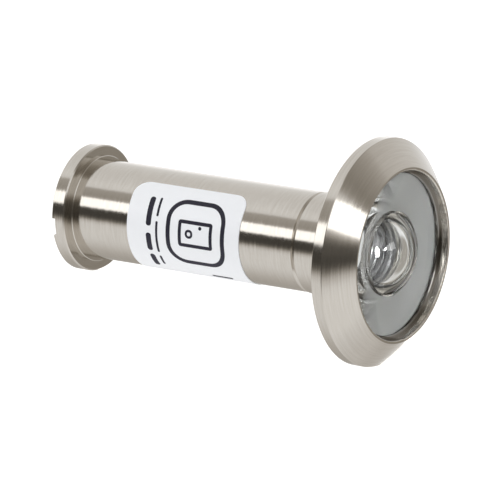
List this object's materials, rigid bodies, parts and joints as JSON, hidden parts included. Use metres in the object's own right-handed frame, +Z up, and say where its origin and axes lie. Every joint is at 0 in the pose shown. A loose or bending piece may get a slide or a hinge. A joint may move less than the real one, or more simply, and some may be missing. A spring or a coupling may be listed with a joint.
{
  "type": "door viewer",
  "caption": "Wide-angle door viewer: bevelled lens head with a threaded tube, and a flanged eyepiece sleeve that screws onto it through a door.",
  "frame": {"origin": "on the viewer's axis, in the plane of the head's back face, which rests on the outer face of the door", "axes": "+Y along the axis from the lens head towards the eyepiece, into the room; +Z up; the lens looks out along -Y"},
  "size_m": [0.028, 0.0473, 0.028],
  "materials": {
    "satin_nickel": "satin nickel plate, brushed round the axis",
    "bright_nickel": "bright nickel plate",
    "lens_glass": "polished, clear",
    "blackened_ring": "black, dull",
    "grey_metal": "dull grey, turned",
    "grey_rubber": "dull, light grey",
    "label_vinyl": "white vinyl, slightly glossy"
  },
  "bodies": {
    "objective": {"objective_housing": "satin_nickel", "front_retaining_ring": "bright_nickel", "front_gasket": "grey_rubber", "objective_lens_front": "lens_glass", "objective_spacer": "grey_metal", "objective_lens_middle": "lens_glass", "objective_lens_rear": "lens_glass", "objective_lock_ring": "blackened_ring"},
    "ocular": {"ocular_washer": "grey_rubber", "ocular_lens": "lens_glass", "field_stop": "blackened_ring", "ocular_lock_ring": "blackened_ring"},
    "sleeve": {"eyepiece_sleeve": "satin_nickel", "label": "label_vinyl"}
  },
  "joints": [
    {"name": "sleeve_travel", "type": "slide", "parent": "objective", "child": "ocular", "axis": [0, 1, 0], "range_m": [0, 0.05]},
    {"name": "sleeve_turn", "type": "hinge", "parent": "ocular", "child": "sleeve", "pos_m": [0, 0.03, 0], "axis": [0, 1, 0], "range_deg": [0, 18000]}
  ],
  "couplings": [
    {"joint": "sleeve_travel", "follows": "sleeve_turn", "m_per_rad": 0.00015915}
  ]
}
